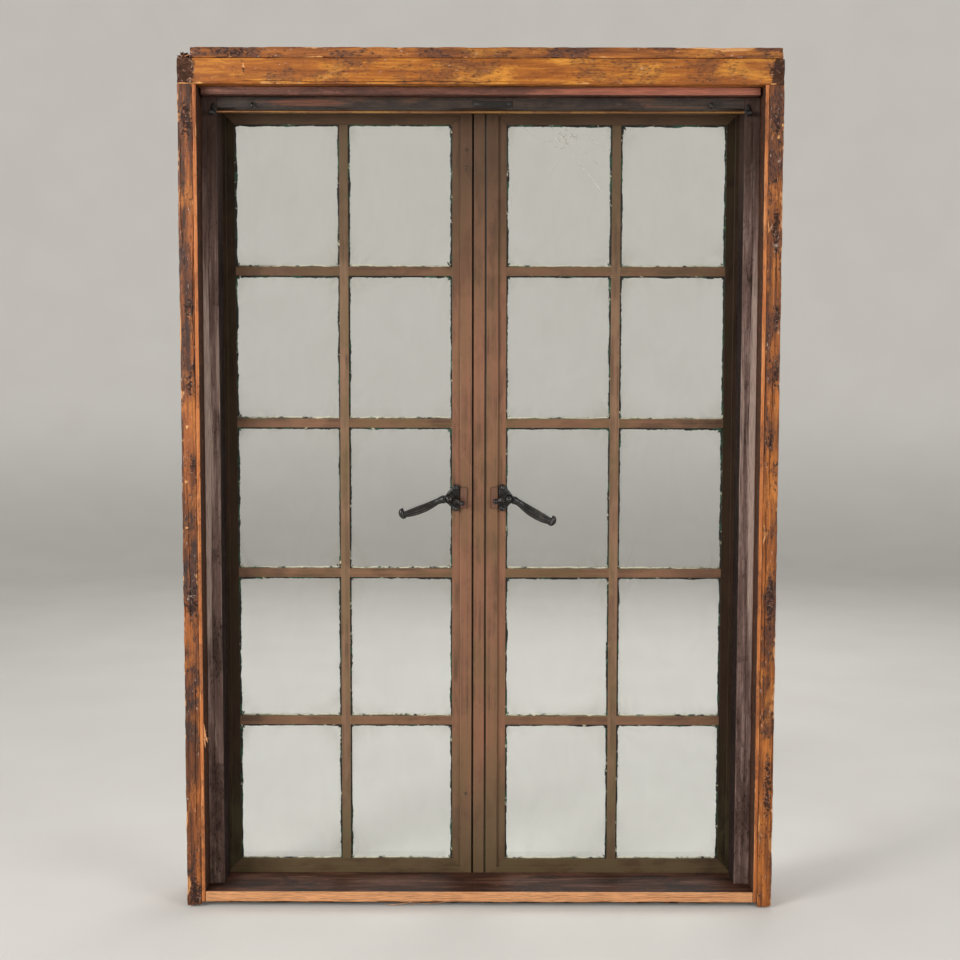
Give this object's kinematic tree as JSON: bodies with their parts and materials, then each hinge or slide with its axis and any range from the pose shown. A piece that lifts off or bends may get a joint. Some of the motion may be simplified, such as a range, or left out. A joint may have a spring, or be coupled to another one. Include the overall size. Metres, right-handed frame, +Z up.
{
  "type": "double metal casement window in timber surround",
  "caption": "Tall double steel casement window with glazing bars and lever handles, set in a deep timber surround with liners and stool board.",
  "frame": {"origin": "on the floor, under the middle of the timber surround", "axes": "+X to the right seen from the room, +Y from the room to the outside, +Z up"},
  "size_m": [1.175, 0.158, 1.7],
  "materials": {
    "aged_timber": "old amber-brown pine or fir, grimy, splintered at the arrises",
    "light_timber": "lighter bare wood, worn",
    "stained_timber": "dark purple-brown stained boards, dull",
    "stool_timber": "dark stained top with a fresh-sawn pale front edge",
    "brass": "dull brass rod",
    "painted_steel": "brown paint over old green, chipped",
    "wrought_iron": "blackened forged iron",
    "glass": "clear old window glass",
    "putty": "old glazing putty, dark green paint over white"
  },
  "bodies": {
    "frame": {"head_timber": "aged_timber", "head_top_board": "aged_timber", "left_jamb": "aged_timber", "right_jamb": "aged_timber", "sub_sill": "aged_timber", "left_jamb_strip": "light_timber", "right_jamb_strip": "light_timber", "soffit_board": "stained_timber", "head_liner": "stained_timber", "left_liner": "stained_timber", "right_liner": "stained_timber", "stool_board": "stool_timber", "curtain_rod": "brass", "frame_head": "painted_steel", "frame_sill": "painted_steel", "frame_left": "painted_steel", "frame_right": "painted_steel", "mullion": "painted_steel", "left_handle_plate": "painted_steel", "right_handle_plate": "painted_steel", "left_leaf_top_rail": "painted_steel", "left_leaf_bottom_rail": "painted_steel", "left_leaf_hinge_stile": "painted_steel", "left_leaf_meeting_stile": "painted_steel", "left_leaf_vertical_bar": "painted_steel", "left_leaf_cross_bars": "painted_steel", "left_leaf_hinges": "painted_steel", "right_leaf_top_rail": "painted_steel", "right_leaf_bottom_rail": "painted_steel", "right_leaf_hinge_stile": "painted_steel", "right_leaf_meeting_stile": "painted_steel", "right_leaf_vertical_bar": "painted_steel", "right_leaf_cross_bars": "painted_steel", "right_leaf_hinges": "painted_steel", "left_rod_bracket": "wrought_iron", "right_rod_bracket": "wrought_iron", "left_handle_bracket": "wrought_iron", "right_handle_bracket": "wrought_iron", "left_leaf_glass": "glass", "right_leaf_glass": "glass", "left_leaf_putty": "putty", "right_leaf_putty": "putty"},
    "left_handle": {"left_handle": "wrought_iron"},
    "right_handle": {"right_handle": "wrought_iron"}
  },
  "joints": [
    {"name": "left_lever_turn", "type": "hinge", "parent": "frame", "child": "left_handle", "pos_m": [-0.0625, 0.0242, 0.817], "axis": [0, -1, 0], "range_deg": [-19, 71]},
    {"name": "right_lever_turn", "type": "hinge", "parent": "frame", "child": "right_handle", "pos_m": [0.0585, 0.0242, 0.817], "axis": [0, 1, 0], "range_deg": [-28, 62]}
  ]
}
